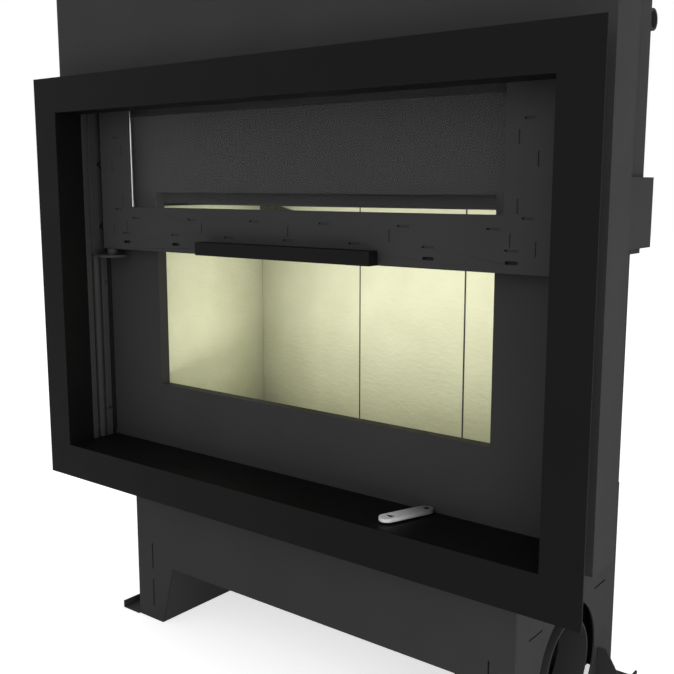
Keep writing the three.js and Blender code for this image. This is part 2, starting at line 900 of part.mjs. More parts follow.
function buildDoor() {
  const windowLow = doorBottom + bottomRail;
  const windowHigh = doorTop - topRail;
  const glassFront = doorFront + sheet + clearance;
  const glassBack = glassFront + glassThickness;
  const backing = { x: rodX + rodRadius + clearance, low: windowLow - 2, high: windowHigh + 2 };
  backing.front = glassBack + clearance;
  const inWalls = (y0, y1) =>
    block(-doorHalf + sheet, doorHalf - sheet, y0, y1, doorBottom + sheet, doorTop - sheet);
  addPart(
    "door_frame",
    carve(
      [block(-doorHalf, doorHalf, doorFront, doorBack, doorBottom, doorTop)],
      [
        inWalls(doorFront + sheet, backing.front),
        inWalls(backing.front + backingPlate, doorBack + 1),
        block(-doorWindowHalf, doorWindowHalf, doorFront - 1, doorFront + sheet + 1, windowLow, windowHigh),
        block(-backing.x, backing.x, backing.front - 1, doorBack, backing.low, backing.high),
        ...doorSlots().map((hole) => frontPlate(hole, doorFront - 1, sheet + 2, 6)),
      ],
    ),
    bodyPaint(),
  );

  const glassHalf = doorWindowHalf + glassLap;
  addPart(
    "door_glass",
    block(-glassHalf, glassHalf, glassFront, glassBack, windowLow - glassLap, windowHigh + glassLap),
    clearGlass(),
  );

  const rodLength = backing.high - backing.low - 2 * clearance;
  const rodMiddle = (backing.high + backing.low) / 2;
  const rodY = glassBack + clearance + rodRadius;
  addPair(
    "glass_rod",
    rod(rodRadius, rodLength, "z", rodX, rodY, rodMiddle, 20),
    chromeSteel,
  );

  const handleBack = doorFront - handleStandoff;
  const handleBottom = doorBottom + 0.9;
  const handleHalf = handleLength / 2;
  const standoffX = handleHalf - 47.8;
  const standoff = (x) =>
    rod(
      6,
      handleStandoff + 2 - clearance,
      "y",
      x,
      handleBack - 2 + (handleStandoff + 2 - clearance) / 2,
      handleBottom + handleHeight / 2,
      16,
    );
  addPart(
    "handle_bar",
    carve([
      block(
        -handleHalf,
        handleHalf,
        handleBack - handleDepth,
        handleBack,
        handleBottom,
        handleBottom + handleHeight,
      ),
      standoff(-standoffX),
      standoff(standoffX),
    ]),
    handlePaint(),
  );

  // carriage: a strip beside the rail, a tongue in the rail's groove, spacers to the door, cable anchor
  const carriageOuter = railFace - runningGap;
  const carriageInner = carriageOuter - carriagePlate;
  const tongueFront = lipBack + 0.6;
  const tongueBack = shaftY - shaftRadius - runningGap;
  const carriageBack = 88;
  const carriageLow = lugTop + clearance;
  const spacerEnd = doorHalf + clearance;
  const spacerLength = carriageInner - spacerEnd + 1;
  const spacer = (z) =>
    rod(4.5, spacerLength, "x", spacerEnd + spacerLength / 2, 84.5, doorBottom + z, 16);
  addPair(
    "carriage",
    carve([
      block(carriageInner, carriageOuter, tongueFront, carriageBack, carriageLow, carriageTop),
      block(carriageOuter - 1, pocketX - 2, tongueFront, tongueBack, carriageLow, carriageTop),
      block(cableX - 5, carriageInner + 1, cableY - 6, cableY + 5, carriageTop - 15, carriageTop),
      spacer(38.4),
      spacer(148.4),
      spacer(258.4),
    ]),
    bodyPaint,
  );

  const armHalf = 12;
  const lowLug = lugTop - lugThickness;
  const pinTop = doorBottom - clearance;
  addPart(
    "hinge_lug_left",
    carve([
      rod(lugRadius, lugThickness, "z", -lugX, lugY, lugTop - lugThickness / 2, 32),
      block(-carriageOuter, -lugX, lugY - armHalf, lugY + armHalf, lowLug, lugTop),
      rod(hingePinRadius, pinTop - lugTop + 1, "z", -lugX, lugY, (pinTop + lugTop - 1) / 2, 20),
    ]),
    rawSteel(),
  );
}

// ---------- counterbalance ----------
function buildCounterbalance() {
  const grooveRadius = pulleyRadius - cableRadius - clearance;
  const grooveHalf = cableRadius + 0.5;
  const bore = axleRadius + clearance;
  const profile = [
    [bore, -pulleyWidth / 2],
    [pulleyRim, -pulleyWidth / 2],
    [pulleyRim, -grooveHalf],
    [grooveRadius, -grooveHalf],
    [grooveRadius, grooveHalf],
    [pulleyRim, grooveHalf],
    [pulleyRim, pulleyWidth / 2],
    [bore, pulleyWidth / 2],
    [bore, -pulleyWidth / 2],
  ].map(([r, h]) => new THREE.Vector2(r, h));
  const spokeHole = (angle) =>
    rod(7, pulleyWidth + 2, "y", 21 * Math.cos(angle), 0, 21 * Math.sin(angle), 16);
  const wheel = carve(
    [new THREE.LatheGeometry(profile, 48)],
    [0, 1, 2, 3, 4].map((k) => spokeHole((k * 2 * Math.PI) / 5)),
  );
  wheel.rotateZ(Math.PI / 2);
  for (const [side, sign] of Object.entries({ right: 1, left: -1 })) {
    const pulley = addPart(`pulley_${side}`, wheel.clone(), rawSteel());
    pulley.position.set(sign * cableX, pulleyY, pulleyZ);
  }

  addPair(
    "counterweight",
    block(
      cableX - weightWidth / 2,
      cableX + weightWidth / 2,
      weightY - weightDepth / 2,
      weightY + weightDepth / 2,
      weightTop - weightHeight,
      weightTop,
    ),
    rawSteel,
  );

  const cable = (name, y, low) =>
    addPair(
      name,
      rod(cableRadius, pulleyZ - low - clearance, "z", cableX, y, (pulleyZ + low + clearance) / 2, 12),
      rawSteel,
    );
  cable("cable_door", cableY, carriageTop);
  cable("cable_weight", weightY, weightTop);

  // the half turn of cable that lies in the pulley's groove
  const bend = new THREE.Shape();
  bend.absarc(0, 0, pulleyRadius + cableRadius, 0, Math.PI, false);
  bend.absarc(0, 0, pulleyRadius - cableRadius, Math.PI, 0, true);
  bend.closePath();
  const bendGeometry = sidePlate(bend, cableX - cableRadius, 2 * cableRadius, 24);
  addPair("cable_bend", bendGeometry.translate(0, pulleyY, pulleyZ + clearance), rawSteel);
}

// ---------- air lever and shutter ----------
function buildAirControl() {
  const crankLow = shutterZ - 7.3;
  const crankThickness = 3;
  const leverEnd = leverWidth / 2;
  const plate = new THREE.Shape();
  plate.absarc(0, -leverSetback, leverEnd, 0, Math.PI, false);
  plate.absarc(0, -leverLength + leverEnd, leverEnd, Math.PI, 2 * Math.PI, false);
  plate.closePath();
  const crank = new THREE.Shape();
  crank.absarc(0, 0, crankEnd, Math.PI, 2 * Math.PI, false);
  crank.absarc(0, crankArm, crankEnd, 0, Math.PI, false);
  crank.closePath();
  const shaftLow = crankLow + 1;
  const pinTop = shutterZ + shutterThickness + 2;
  const hubLow = windowBottom + clearance;
  const lever = addPart(
    "air_lever",
    carve(
      [
        topPlate(plate, leverZ, leverThickness, 16),
        rod(leverShaft + 3, leverZ - hubLow + 1, "z", 0, 0, (leverZ + 1 + hubLow) / 2, 20),
        rod(leverShaft, leverZ + 1 - shaftLow, "z", 0, 0, (leverZ + 1 + shaftLow) / 2, 20),
        topPlate(crank, crankLow, crankThickness, 12),
        rod(crankPin, pinTop - shaftLow, "z", 0, crankArm, (pinTop + shaftLow) / 2, 16),
      ],
      [rod(leverRecess, 4, "z", 0, 0, leverZ + leverThickness, 20)],
    ),
    chromeSteel(),
  );
  lever.position.set(leverX, leverY, 0);
  lever.rotation.z = leverTurn;

  const pinX = leverX - crankArm * Math.sin(leverTurn);
  const slotHalf = crankPin + 0.9;
  const shutterRight = airPort.x1 - 1;
  const shutterLeft = shutterRight - shutterLength;
  const shutter = rectangle(shutterLeft, shutterRight, shutterFront, shutterBack, THREE.Shape);
  const slotFront = leverY + crankArm * Math.cos(THREE.MathUtils.degToRad(35)) - crankPin - runningGap;
  const slotBack = leverY + crankArm + crankPin + runningGap;
  shutter.holes.push(rectangle(pinX - slotHalf, pinX + slotHalf, slotFront, slotBack));
  addPart("air_shutter", topPlate(shutter, shutterZ, shutterThickness), rawSteel());
}

buildBase();
buildAirSupply();
buildFirebox();
buildLining();
buildHousing();
buildLiftGear();
buildDoor();
buildCounterbalance();
buildAirControl();

const insert = new THREE.Group();
insert.position.y = -overallDepth / 2;
insert.add(...parts);
const model = new THREE.Group();
model.add(insert);
export default model;
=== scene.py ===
import json
import math

import bmesh
import bpy
from mathutils import Matrix, Vector


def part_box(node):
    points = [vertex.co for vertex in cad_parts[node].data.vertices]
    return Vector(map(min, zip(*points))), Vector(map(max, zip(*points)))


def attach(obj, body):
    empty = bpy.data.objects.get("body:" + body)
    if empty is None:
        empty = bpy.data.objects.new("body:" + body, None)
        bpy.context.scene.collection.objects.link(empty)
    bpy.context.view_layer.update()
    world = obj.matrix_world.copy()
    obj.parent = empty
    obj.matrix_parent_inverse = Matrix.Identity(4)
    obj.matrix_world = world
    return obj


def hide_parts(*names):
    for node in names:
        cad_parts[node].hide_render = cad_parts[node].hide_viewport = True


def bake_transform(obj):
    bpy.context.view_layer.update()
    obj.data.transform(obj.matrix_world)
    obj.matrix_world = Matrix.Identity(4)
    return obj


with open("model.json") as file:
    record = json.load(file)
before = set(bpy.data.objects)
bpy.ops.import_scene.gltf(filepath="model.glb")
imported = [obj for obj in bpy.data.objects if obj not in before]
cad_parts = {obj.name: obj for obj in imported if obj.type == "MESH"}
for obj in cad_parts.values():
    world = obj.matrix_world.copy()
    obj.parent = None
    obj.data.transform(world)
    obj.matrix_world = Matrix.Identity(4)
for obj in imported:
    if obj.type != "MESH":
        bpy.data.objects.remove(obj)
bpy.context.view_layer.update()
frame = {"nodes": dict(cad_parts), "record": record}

NODES = frame["nodes"]
DEPTH_SHIFT = -0.254  # front face of the portal ring in the part's frame
SIDES = {"left": -1, "right": 1}
CHAMBER = {"side": 0.361, "back": 0.409}  # faces of the side and back boards, in metres


def at(x, y, z):
    """Millimetres, with y counted from the front of the portal ring, as a place in the part's frame."""
    return Vector((x / 1000, y / 1000 + DEPTH_SHIFT, z / 1000))


# ---------- camera ----------
def make_camera():
    data = bpy.data.cameras.new("camera")
    data.sensor_width = 36.0
    data.lens = 50.22
    data.clip_end = 60.0
    cam = bpy.data.objects.new("camera", data)
    bpy.context.scene.collection.objects.link(cam)
    right = Vector((0.78433, 0.62036, 0.0)).normalized()
    forward = Vector((-0.61247, 0.77435, -0.15891)).normalized()
    up = right.cross(forward).normalized()
    right = forward.cross(up).normalized()
    turn = Matrix((right, up, -forward)).transposed()
    cam.matrix_world = Matrix.Translation(at(945.15, -1000, 803)) @ turn.to_4x4()
    bpy.context.scene.camera = cam


make_camera()


# ---------- node material helpers ----------
def srgb(value):
    return value / 12.92 if value <= 0.04045 else ((value + 0.055) / 1.055) ** 2.4


def grey(level, tint=(1.0, 1.0, 1.0)):
    linear = srgb(level / 255.0)
    return tuple(linear * t for t in tint) + (1.0,)


class Mat:
    """A small wrapper that adds and links nodes in one material."""

    def __init__(self, name):
        self.mat = bpy.data.materials.new(name)
        self.mat.use_nodes = True
        self.tree = self.mat.node_tree
        self.bsdf = self.tree.nodes["Principled BSDF"]

    def add(self, kind, **values):
        node = self.tree.nodes.new(kind)
        for key, value in values.items():
            if key in node.inputs:
                node.inputs[key].default_value = value
            else:
                setattr(node, key, value)
        return node

    def link(self, a, b):
        self.tree.links.new(a, b)

    def coords(self, scale=1.0):
        coord = self.add("ShaderNodeTexCoord")
        mapping = self.add("ShaderNodeMapping")
        mapping.inputs["Scale"].default_value = scale if isinstance(scale, tuple) else (scale,) * 3
        self.link(coord.outputs["Object"], mapping.inputs["Vector"])
        return mapping.outputs["Vector"]

    def noise(self, vector, scale, detail=4.0, rough=0.55):
        node = self.add("ShaderNodeTexNoise", Scale=scale, Detail=detail, Roughness=rough)
        self.link(vector, node.inputs["Vector"])
        return node.outputs["Fac"]

    def ramp(self, fac, stops):
        node = self.add("ShaderNodeValToRGB")
        elements = node.color_ramp.elements
        while len(elements) < len(stops):
            elements.new(0.5)
        for element, (place, color) in zip(elements, stops):
            element.position = place
            element.color = color
        self.link(fac, node.inputs["Fac"])
        return node.outputs["Color"]

    def remap(self, fac, low, high):
        node = self.add("ShaderNodeMapRange")
        node.inputs["To Min"].default_value = low
        node.inputs["To Max"].default_value = high
        self.link(fac, node.inputs["Value"])
        return node.outputs["Result"]

    def bump(self, fac, strength, distance, normal=None):
        node = self.add("ShaderNodeBump", Strength=strength, Distance=distance)
        self.link(fac, node.inputs["Height"])
        if normal is not None:
            self.link(normal, node.inputs["Normal"])
        return node.outputs["Normal"]

    def multiply(self, a, b):
        node = self.add("ShaderNodeMix", data_type="RGBA", blend_type="MULTIPLY")
        node.inputs["Factor"].default_value = 1.0
        self.link(a, node.inputs["A"])
        self.link(b, node.inputs["B"])
        return node.outputs["Result"]

    def shine(self, level):
        self.bsdf.inputs["Specular IOR Level"].default_value = level


def paint_material(name, low, high, rough, grain=0.06, shine=0.25):
    """Matt heat-proof paint: slow colour drift, fine grain and a soft sheen."""
    m = Mat(name)
    vector = m.coords()
    drift = m.noise(vector, 5.0, 3.0)
    m.link(m.ramp(drift, [(0.35, grey(low)), (0.65, grey(high))]), m.bsdf.inputs["Base Color"])
    speck = m.noise(vector, 900.0, 2.0)
    m.link(m.remap(m.noise(vector, 22.0), rough - 0.05, rough + 0.07), m.bsdf.inputs["Roughness"])
    m.link(m.bump(speck, grain, 0.0002), m.bsdf.inputs["Normal"])
    m.shine(shine)
    return m.mat


def steel_material(name, low, high, rough, stretch=(1.0, 1.0, 1.0)):
    """Bare steel with drawn lines along the stretched axis."""
    m = Mat(name)
    lines = m.noise(m.coords(stretch), 60.0, 6.0, 0.6)
    m.link(m.ramp(lines, [(0.3, grey(low)), (0.7, grey(high))]), m.bsdf.inputs["Base Color"])
    m.link(m.remap(lines, rough - 0.06, rough + 0.08), m.bsdf.inputs["Roughness"])
    m.link(m.bump(lines, 0.15, 0.0002), m.bsdf.inputs["Normal"])
    m.bsdf.inputs["Metallic"].default_value = 1.0
    return m.mat


def lever_material(pivot, turn, length):
    """Brushed steel with a painted highlight growing towards the free end and painted shade at the pivot.
    """
    m = Mat("lever_steel")
    coord = m.add("ShaderNodeTexCoord")
    along = m.add("ShaderNodeMapping")
    along.vector_type = "TEXTURE"
    along.inputs["Location"].default_value = pivot
    along.inputs["Rotation"].default_value = (0.0, 0.0, turn)
    along.inputs["Scale"].default_value = (length,) * 3
    m.link(coord.outputs["Object"], along.inputs["Vector"])
    axes = m.add("ShaderNodeSeparateXYZ")
    m.link(along.outputs["Vector"], axes.inputs["Vector"])
    reach = m.add("ShaderNodeMath", operation="MULTIPLY")
    m.link(axes.outputs["Y"], reach.inputs[0])
    reach.inputs[1].default_value = -1.0
    lines = m.add("ShaderNodeMapping")
    lines.inputs["Scale"].default_value = (40.0, 1.5, 40.0)
    m.link(along.outputs["Vector"], lines.inputs["Vector"])
    brushed = m.noise(lines.outputs["Vector"], 6.0, 4.0, 0.6)
    # Painted light: the colour runs from painted shade at the pivot to a painted highlight at the tip.
    tone = m.ramp(reach.outputs[0], [(0.0, grey(110)), (0.3, grey(170)), (0.75, grey(253))])
    streak = m.ramp(brushed, [(0.3, grey(232)), (0.7, grey(255))])
    m.link(m.multiply(tone, streak), m.bsdf.inputs["Base Color"])
    m.link(m.remap(brushed, 0.32, 0.5), m.bsdf.inputs["Roughness"])
    m.link(m.bump(brushed, 0.2, 0.0002), m.bsdf.inputs["Normal"])
    m.bsdf.inputs["Metallic"].default_value = 0.15
    return m.mat


def lining_material():
    """Pressed fire board with a wavy relief.

    It is painted darker towards the chamber's rear corners and floor, after the photograph's shading.
    """
    m = Mat("fire_board")
    vector = m.coords()
    cloud = m.noise(vector, 14.0, 3.0, 0.5)
    low, high = grey(229, (0.995, 1.0, 0.69)), grey(236, (0.995, 1.0, 0.71))
    board = m.ramp(cloud, [(0.3, low), (0.7, high)])
    axes = m.add("ShaderNodeSeparateXYZ")
    m.link(vector, axes.inputs["Vector"])
    across = m.add("ShaderNodeMath", operation="ABSOLUTE")
    m.link(axes.outputs["X"], across.inputs[0])
    corner = m.add("ShaderNodeCombineXYZ", Z=0.0)
    m.link(across.outputs[0], corner.inputs["X"])
    m.link(axes.outputs["Y"], corner.inputs["Y"])
    away = m.add("ShaderNodeVectorMath", operation="DISTANCE")
    m.link(corner.outputs["Vector"], away.inputs[0])
    away.inputs[1].default_value = (CHAMBER["side"], CHAMBER["back"] + DEPTH_SHIFT, 0.0)
    shades = (
        (away.outputs["Value"], [(0.0, grey(206)), (0.06, grey(232)), (0.15, grey(255))]),
        (axes.outputs["Z"], [(0.36, grey(214)), (0.43, grey(240)), (0.5, grey(255))]),
    )
    for value, stops in shades:
        board = m.multiply(board, m.ramp(value, stops))
    m.link(board, m.bsdf.inputs["Base Color"])
    m.bsdf.inputs["Roughness"].default_value = 0.95
    m.shine(0.1)
    waves = m.noise(m.coords((1.0, 1.0, 2.0)), 52.0, 4.0, 0.6)
    fine = m.noise(vector, 260.0, 3.0, 0.6)
    rough = m.bump(fine, 0.3, 0.0008)
    m.link(m.bump(waves, 0.8, 0.0026, rough), m.bsdf.inputs["Normal"])
    return m.mat


def glass_material():
    """Clear ceramic glass; light falls straight through it."""
    m = Mat("fire_glass")
    haze = m.noise(m.coords(), 3.0)
    clear_tones = [(0.3, (0.96, 0.965, 0.96, 1.0)), (0.7, (0.985, 0.99, 0.985, 1.0))]
    m.link(m.ramp(haze, clear_tones), m.bsdf.inputs["Base Color"])
    m.bsdf.inputs["Transmission Weight"].default_value = 1.0
    m.bsdf.inputs["IOR"].default_value = 1.16
    m.bsdf.inputs["Roughness"].default_value = 0.0
    path = m.add("ShaderNodeLightPath")
    passing = m.add("ShaderNodeMath", operation="MAXIMUM")
    m.link(path.outputs["Is Shadow Ray"], passing.inputs[0])
    m.link(path.outputs["Is Diffuse Ray"], passing.inputs[1])
    clear = m.add("ShaderNodeBsdfTransparent")
    mix = m.add("ShaderNodeMixShader")
    m.link(passing.outputs[0], mix.inputs["Fac"])
    m.link(m.bsdf.outputs[0], mix.inputs[1])
    m.link(clear.outputs[0], mix.inputs[2])
    m.link(mix.outputs[0], m.tree.nodes["Material Output"].inputs["Surface"])
    return m.mat


def rope_material():
    """Black braided sealing cord."""
    m = Mat("seal_rope")
    vector = m.coords()
    braid = m.add("ShaderNodeTexWave", Scale=160.0, Distortion=2.0, Detail=2.0)
    braid.bands_direction = "DIAGONAL"
    m.link(vector, braid.inputs["Vector"])
    m.link(m.ramp(braid.outputs["Fac"], [(0.2, grey(10)), (0.8, grey(26))]), m.bsdf.inputs["Base Color"])
    m.bsdf.inputs["Roughness"].default_value = 0.9
    m.link(m.bump(braid.outputs["Fac"], 0.6, 0.0004), m.bsdf.inputs["Normal"])
    m.shine(0.1)
    return m.mat


LEVER = {"pivot": at(241.4, 98, 0), "turn": math.radians(-20.5), "length": 0.0808, "top": 344.8}

MATERIALS = {
    "body_paint": paint_material("body_paint", 50, 53, 0.62, shine=0.15),
    "portal_paint": paint_material("portal_paint", 11, 14, 0.5, shine=0.13),
    "handle_paint": paint_material("handle_paint", 12, 16, 0.5, grain=0.4, shine=0.13),
    "raw_steel": steel_material("raw_steel", 86, 112, 0.42),
    "bright_steel": steel_material("bright_steel", 225, 246, 0.22, (30.0, 30.0, 1.0)),
    # A lighter copy of the body paint, as painted light on the arch's inner plate, which the lamps leave
    # dim.
    "arch_painted_light": paint_material("arch_painted_light", 58, 64, 0.6, shine=0.15),
    "plate_paint": paint_material("plate_paint", 49, 52, 0.62, grain=0.0, shine=0.14),
    "dark_strip": paint_material("dark_strip", 20, 26, 0.8, shine=0.1),
    "fire_lining": lining_material(),
    "fire_glass": glass_material(),
    "lever": lever_material(LEVER["pivot"], LEVER["turn"], LEVER["length"]),
    "rope": rope_material(),
    # Dark strips for the lining's joints: painted shade.
    "joint": paint_material("joint_painted_shade", 58, 76, 0.9, shine=0.1),
    "bolt": paint_material("bolt_black", 9, 14, 0.4, shine=0.4),
}


SHARP_ANGLE = 35  # degrees between faces above which an edge counts as sharp
PLAIN_EDGE = 0.0005
EDGE_RADIUS = {"fire_lining": 0.0012, "handle_paint": 0.0009}


def dress(obj, material):
    obj.data.materials.clear()
    obj.data.materials.append(material)


def soften(obj, width):
    """Gives a CAD node's folded and cut edges their small radius."""
    obj.data.polygons.foreach_set("use_smooth", [True] * len(obj.data.polygons))
    weld = obj.modifiers.new("weld", "WELD")
    weld.merge_threshold = 0.00002
    bevel = obj.modifiers.new("edge", "BEVEL")
    bevel.width = width
    bevel.segments = 2
    bevel.limit_method = "ANGLE"
    bevel.angle_limit = math.radians(SHARP_ANGLE)
    bevel.use_clamp_overlap = True
    normals = obj.modifiers.new("normals", "WEIGHTED_NORMAL")
    normals.weight = 60


for part in frame["record"]["subparts"]:
    node = NODES[part["node"]]
    dress(node, MATERIALS[part["material_slot"]])
    soften(node, EDGE_RADIUS.get(part["material_slot"], PLAIN_EDGE))
dress(NODES["air_lever"], MATERIALS["lever"])
# The arch plate takes the lighter copy of the body paint: painted light.
dress(NODES["base_arch_plate"], MATERIALS["arch_painted_light"])
dress(NODES["face_plate"], MATERIALS["plate_paint"])


# ---------- mesh helpers ----------
def finish_piece(name, bm, body, material, smooth_angle=SHARP_ANGLE):
    """Makes an object of bm that rides the body; a blended piece has no body yet."""
    mesh = bpy.data.meshes.new(name)
    bm.normal_update()
    bm.to_mesh(mesh)
    bm.free()
    mesh.shade_smooth()
    mesh.set_sharp_from_angle(angle=math.radians(smooth_angle))
    obj = bpy.data.objects.new(name, mesh)
    bpy.context.scene.collection.objects.link(obj)
    dress(obj, material)
    if body:
        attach(obj, body)
    return obj


def turned(bm, profile, place, axis, sides=24):
    """A turned body. Each profile entry is (radius, height) or (radius, height, 6) for a hexagon."""
    spin = Vector((0, 0, 1)).rotation_difference(Vector(axis)).to_matrix()
    rings = []
    for radius, height, *corners in profile:
        ring = []
        for k in range(sides):
            angle = 2 * math.pi * k / sides
            reach = radius
            if corners:
                sector = 2 * math.pi / corners[0]
                reach *= math.cos(sector / 2) / math.cos(angle % sector - sector / 2)
            local = Vector((reach * math.cos(angle), reach * math.sin(angle), height))
            ring.append(bm.verts.new(place + spin @ local))
        rings.append(ring)
    for low, high in zip(rings, rings[1:]):
        for k in range(sides):
            j = (k + 1) % sides
            bm.faces.new((low[k], low[j], high[j], high[k]))
    bm.faces.new(rings[0][::-1])
    bm.faces.new(rings[-1])


def screw(bm, place, axis, radius, height):
    """A pan head with a hexagon socket."""
    profile = [
        (radius, 0),
        (radius, 0.4 * height),
        (0.9 * radius, 0.78 * height),
        (0.66 * radius, height),
        (0.52 * radius, height, 6),
        (0.48 * radius, 0.35 * height, 6),
    ]
    turned(bm, profile, place, axis)


def screws(name, places, axis, radius, height, material="raw_steel"):
    bm = bmesh.new()
    for place in places:
        screw(bm, place, axis, radius, height)
    finish_piece(name, bm, "firebox", MATERIALS[material])


def sampled(points, step, closed=False):
    """Points every step along straight stretches."""
    stops = list(points) + ([points[0]] if closed else [])
    path = []
    for a, b in zip(stops, stops[1:]):
        count = max(1, round((b - a).length / step))
        path.extend(a.lerp(b, k / count) for k in range(count))
    return path if closed else path + [stops[-1]]


def bar(bm, path, radius_at, sides=10, closed=False):
    """A bar along path; radius_at(distance, angle) gives its section."""
    count = len(path)
    rings = []
    travelled = 0.0
    side = None
    for i, point in enumerate(path):
        before = path[i - 1] if i or closed else point
        after = path[(i + 1) % count] if i < count - 1 or closed else point
        tangent = (after - before).normalized()
        side = tangent.orthogonal() if side is None else side - tangent * side.dot(tangent)
        side.normalize()
        other = tangent.cross(side)
        if i:
            travelled += (point - path[i - 1]).length
        ring = []
        for k in range(sides):
            angle = 2 * math.pi * k / sides
            radius = radius_at(travelled, angle)
            outward = math.cos(angle) * side + math.sin(angle) * other
            ring.append(bm.verts.new(point + radius * outward))
        rings.append(ring)
    pairs = list(zip(rings, rings[1:])) + ([(rings[-1], rings[0])] if closed else [])
    for low, high in pairs:
        for k in range(sides):
            j = (k + 1) % sides
            bm.faces.new((low[k], low[j], high[j], high[k]))
    if not closed:
        bm.faces.new(rings[0][::-1])
        bm.faces.new(rings[-1])


def bead(bm, path, radius, ripple_length, depth, closed=False):
    """A weld bead with ripples along path."""
    ripple = 2 * math.pi / ripple_length
    bar(bm, path, lambda s, a: radius * (1 + depth * math.sin(ripple * s)), 8, closed=closed)


def finish_weld(name, bm):
    finish_piece(name, bm, "firebox", MATERIALS["body_paint"], smooth_angle=60)


def circle(centre, radius, count):
    """Points on a level circle."""
    points = []
    for k in range(count):
        angle = math.radians(360 * k / count)
        across = math.cos(angle) * Vector((1, 0, 0)) + math.sin(angle) * Vector((0, 1, 0))
        points.append(centre + radius * across)
    return points


def block(bm, low, high, edge):
    """A block between two corners with small chamfers."""
    size = high - low
    verts = bmesh.ops.create_cube(bm, size=1.0)["verts"]
    bmesh.ops.scale(bm, vec=size, verts=verts)
    bmesh.ops.translate(bm, vec=(low + high) / 2, verts=verts)
    edges = list({e for v in verts for e in v.link_edges})
    bmesh.ops.bevel(bm, geom=edges, offset=edge, segments=2, affect="EDGES")


# ---------- guide rails and carriages ----------
RAIL_FACE = 465
RAIL_SCREW_PITCH = 236.6
DOOR_BOTTOM = 691.6
SPACER_HEIGHTS = (38.4, 148.4, 258.4)


def make_rail_details():
    for side, sign in SIDES.items():
        inward = (-sign, 0, 0)
        places = [at(sign * RAIL_FACE, 91.5, 390.6 + k * RAIL_SCREW_PITCH) for k in range(5)]
        screws(f"rail_screws_{side}", places, inward, 0.0029, 0.0013)
        # A dark strip behind each rail, on the face plate, stands in for the rail's shadow there: painted
        # shadow.
        strip = bmesh.new()
        edges = sorted((sign * (RAIL_FACE + 1.2), sign * (RAIL_FACE + 17.4)))
        block(strip, at(edges[0], 98.5, 346), at(edges[1], 108.3, 1416), 0.001)
        finish_piece(f"rail_shadow_strip_{side}", strip, "firebox", MATERIALS["dark_strip"])


def make_spacer_sleeves():
    collar = [(0.0046, 0), (0.0062, 0.0004), (0.0062, 0.0045)]
    barrel = [(0.0053, 0.0052), (0.0053, 0.0162)]
    for side, sign in SIDES.items():
        bm = bmesh.new()
        for height in SPACER_HEIGHTS:
            start = at(sign * 442.8, 84.5, DOOR_BOTTOM + height)
            turned(bm, collar + barrel, start, (sign, 0, 0))
        finish_piece(f"spacer_sleeves_{side}", bm, "door", MATERIALS["bolt"])


# ---------- door: the tab ends that fill its slots ----------
DOOR = {"half": 442.3, "height": 583, "slit": 2.5}


def slot_places():
    """(x, height, length) of the door's narrow slots: the level ones, then the upright ones."""
    half, height = DOOR["half"], DOOR["height"]
    flat, upright = [], []
    for side in SIDES.values():
        flat += [(side * k * (half - 65.2) / 3, 29.4, 20) for k in range(4) if k or side > 0]
        flat += [(side * (k + 0.5) * (half - 91.8) / 2.5, 56.4, 20) for k in range(3)]
        upright += [(side * k * (half - 67.5) / 2, 42.4, 16) for k in range(3) if k or side > 0]
        stile = half - 44.3
        for k in range(4):
            z = 70.8 + k * (height - 88.6) / 4
            flat.append((side * stile, z, 15))
            upright.append((side * (stile + 13.1), z - (50.5 if k else 37.9), 18))
            upright.append((side * (stile - 14), z - 23 if k else 85.4, 18))
    return flat, upright


def make_slot_tabs():
    flat, upright = slot_places()
    wide = DOOR["slit"] / 2 - 0.3
    front, back, play = 75.7, 82.5, 0.3
    bm = bmesh.new()
    for x, z, length in flat:
        left, right = x - length / 2 + 0.16 * length, x + length / 2 - play
        low, high = DOOR_BOTTOM + z - wide, DOOR_BOTTOM + z + wide
        block(bm, at(left, front, low), at(right, back, high), 0.0002)
    for x, z, length in upright:
        low, high = DOOR_BOTTOM + (z - length / 2 + play), DOOR_BOTTOM + (z + length / 2 - play)
        block(bm, at(x - wide + 0.35, front, low), at(x + wide, back, high), 0.0002)
    finish_piece("door_slot_tabs", bm, "door", MATERIALS["body_paint"])


# ---------- lift cables ----------
CABLE = {"x": 453, "door_y": 83, "weight_y": 155, "pulley_z": 1472, "door_z": 1000, "weight_z": 1030}


def strand(distance, angle):
    """Section of a six-strand cable at a distance along it."""
    lay = 2 * math.pi * distance / 0.012
    return 0.0015 * (0.93 + 0.07 * math.cos(6 * (angle - lay)))


FERRULE = [
    (0.0042, 0),
    (0.0042, 0.0018),
    (0.003, 0.002),
    (0.003, 0.0145),
    (0.0026, 0.0155),
    (0.0016, 0.016),
]


def make_cables():
    steel = MATERIALS["raw_steel"]
    for side, sign in SIDES.items():
        x = sign * CABLE["x"]
        runs = (
            ("door", CABLE["door_y"], CABLE["door_z"], "door"),
            ("weight", CABLE["weight_y"], CABLE["weight_z"], f"weight_{side}"),
        )
        for name, y, low, body in runs:
            top, bottom = at(x, y, CABLE["pulley_z"]), at(x, y, low)
            bm = bmesh.new()
            bar(bm, sampled([top, bottom], 0.0022), strand, 18)
            cable = finish_piece(f"cable_run_{name}_{side}", bm, None, steel, 80)
            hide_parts(f"cable_{name}_{side}")
            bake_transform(cable)
            ferrule = bmesh.new()
            turned(ferrule, FERRULE, bottom, (0, 0, 1))
            finish_piece(f"cable_ferrule_{name}_{side}", ferrule, body, steel)


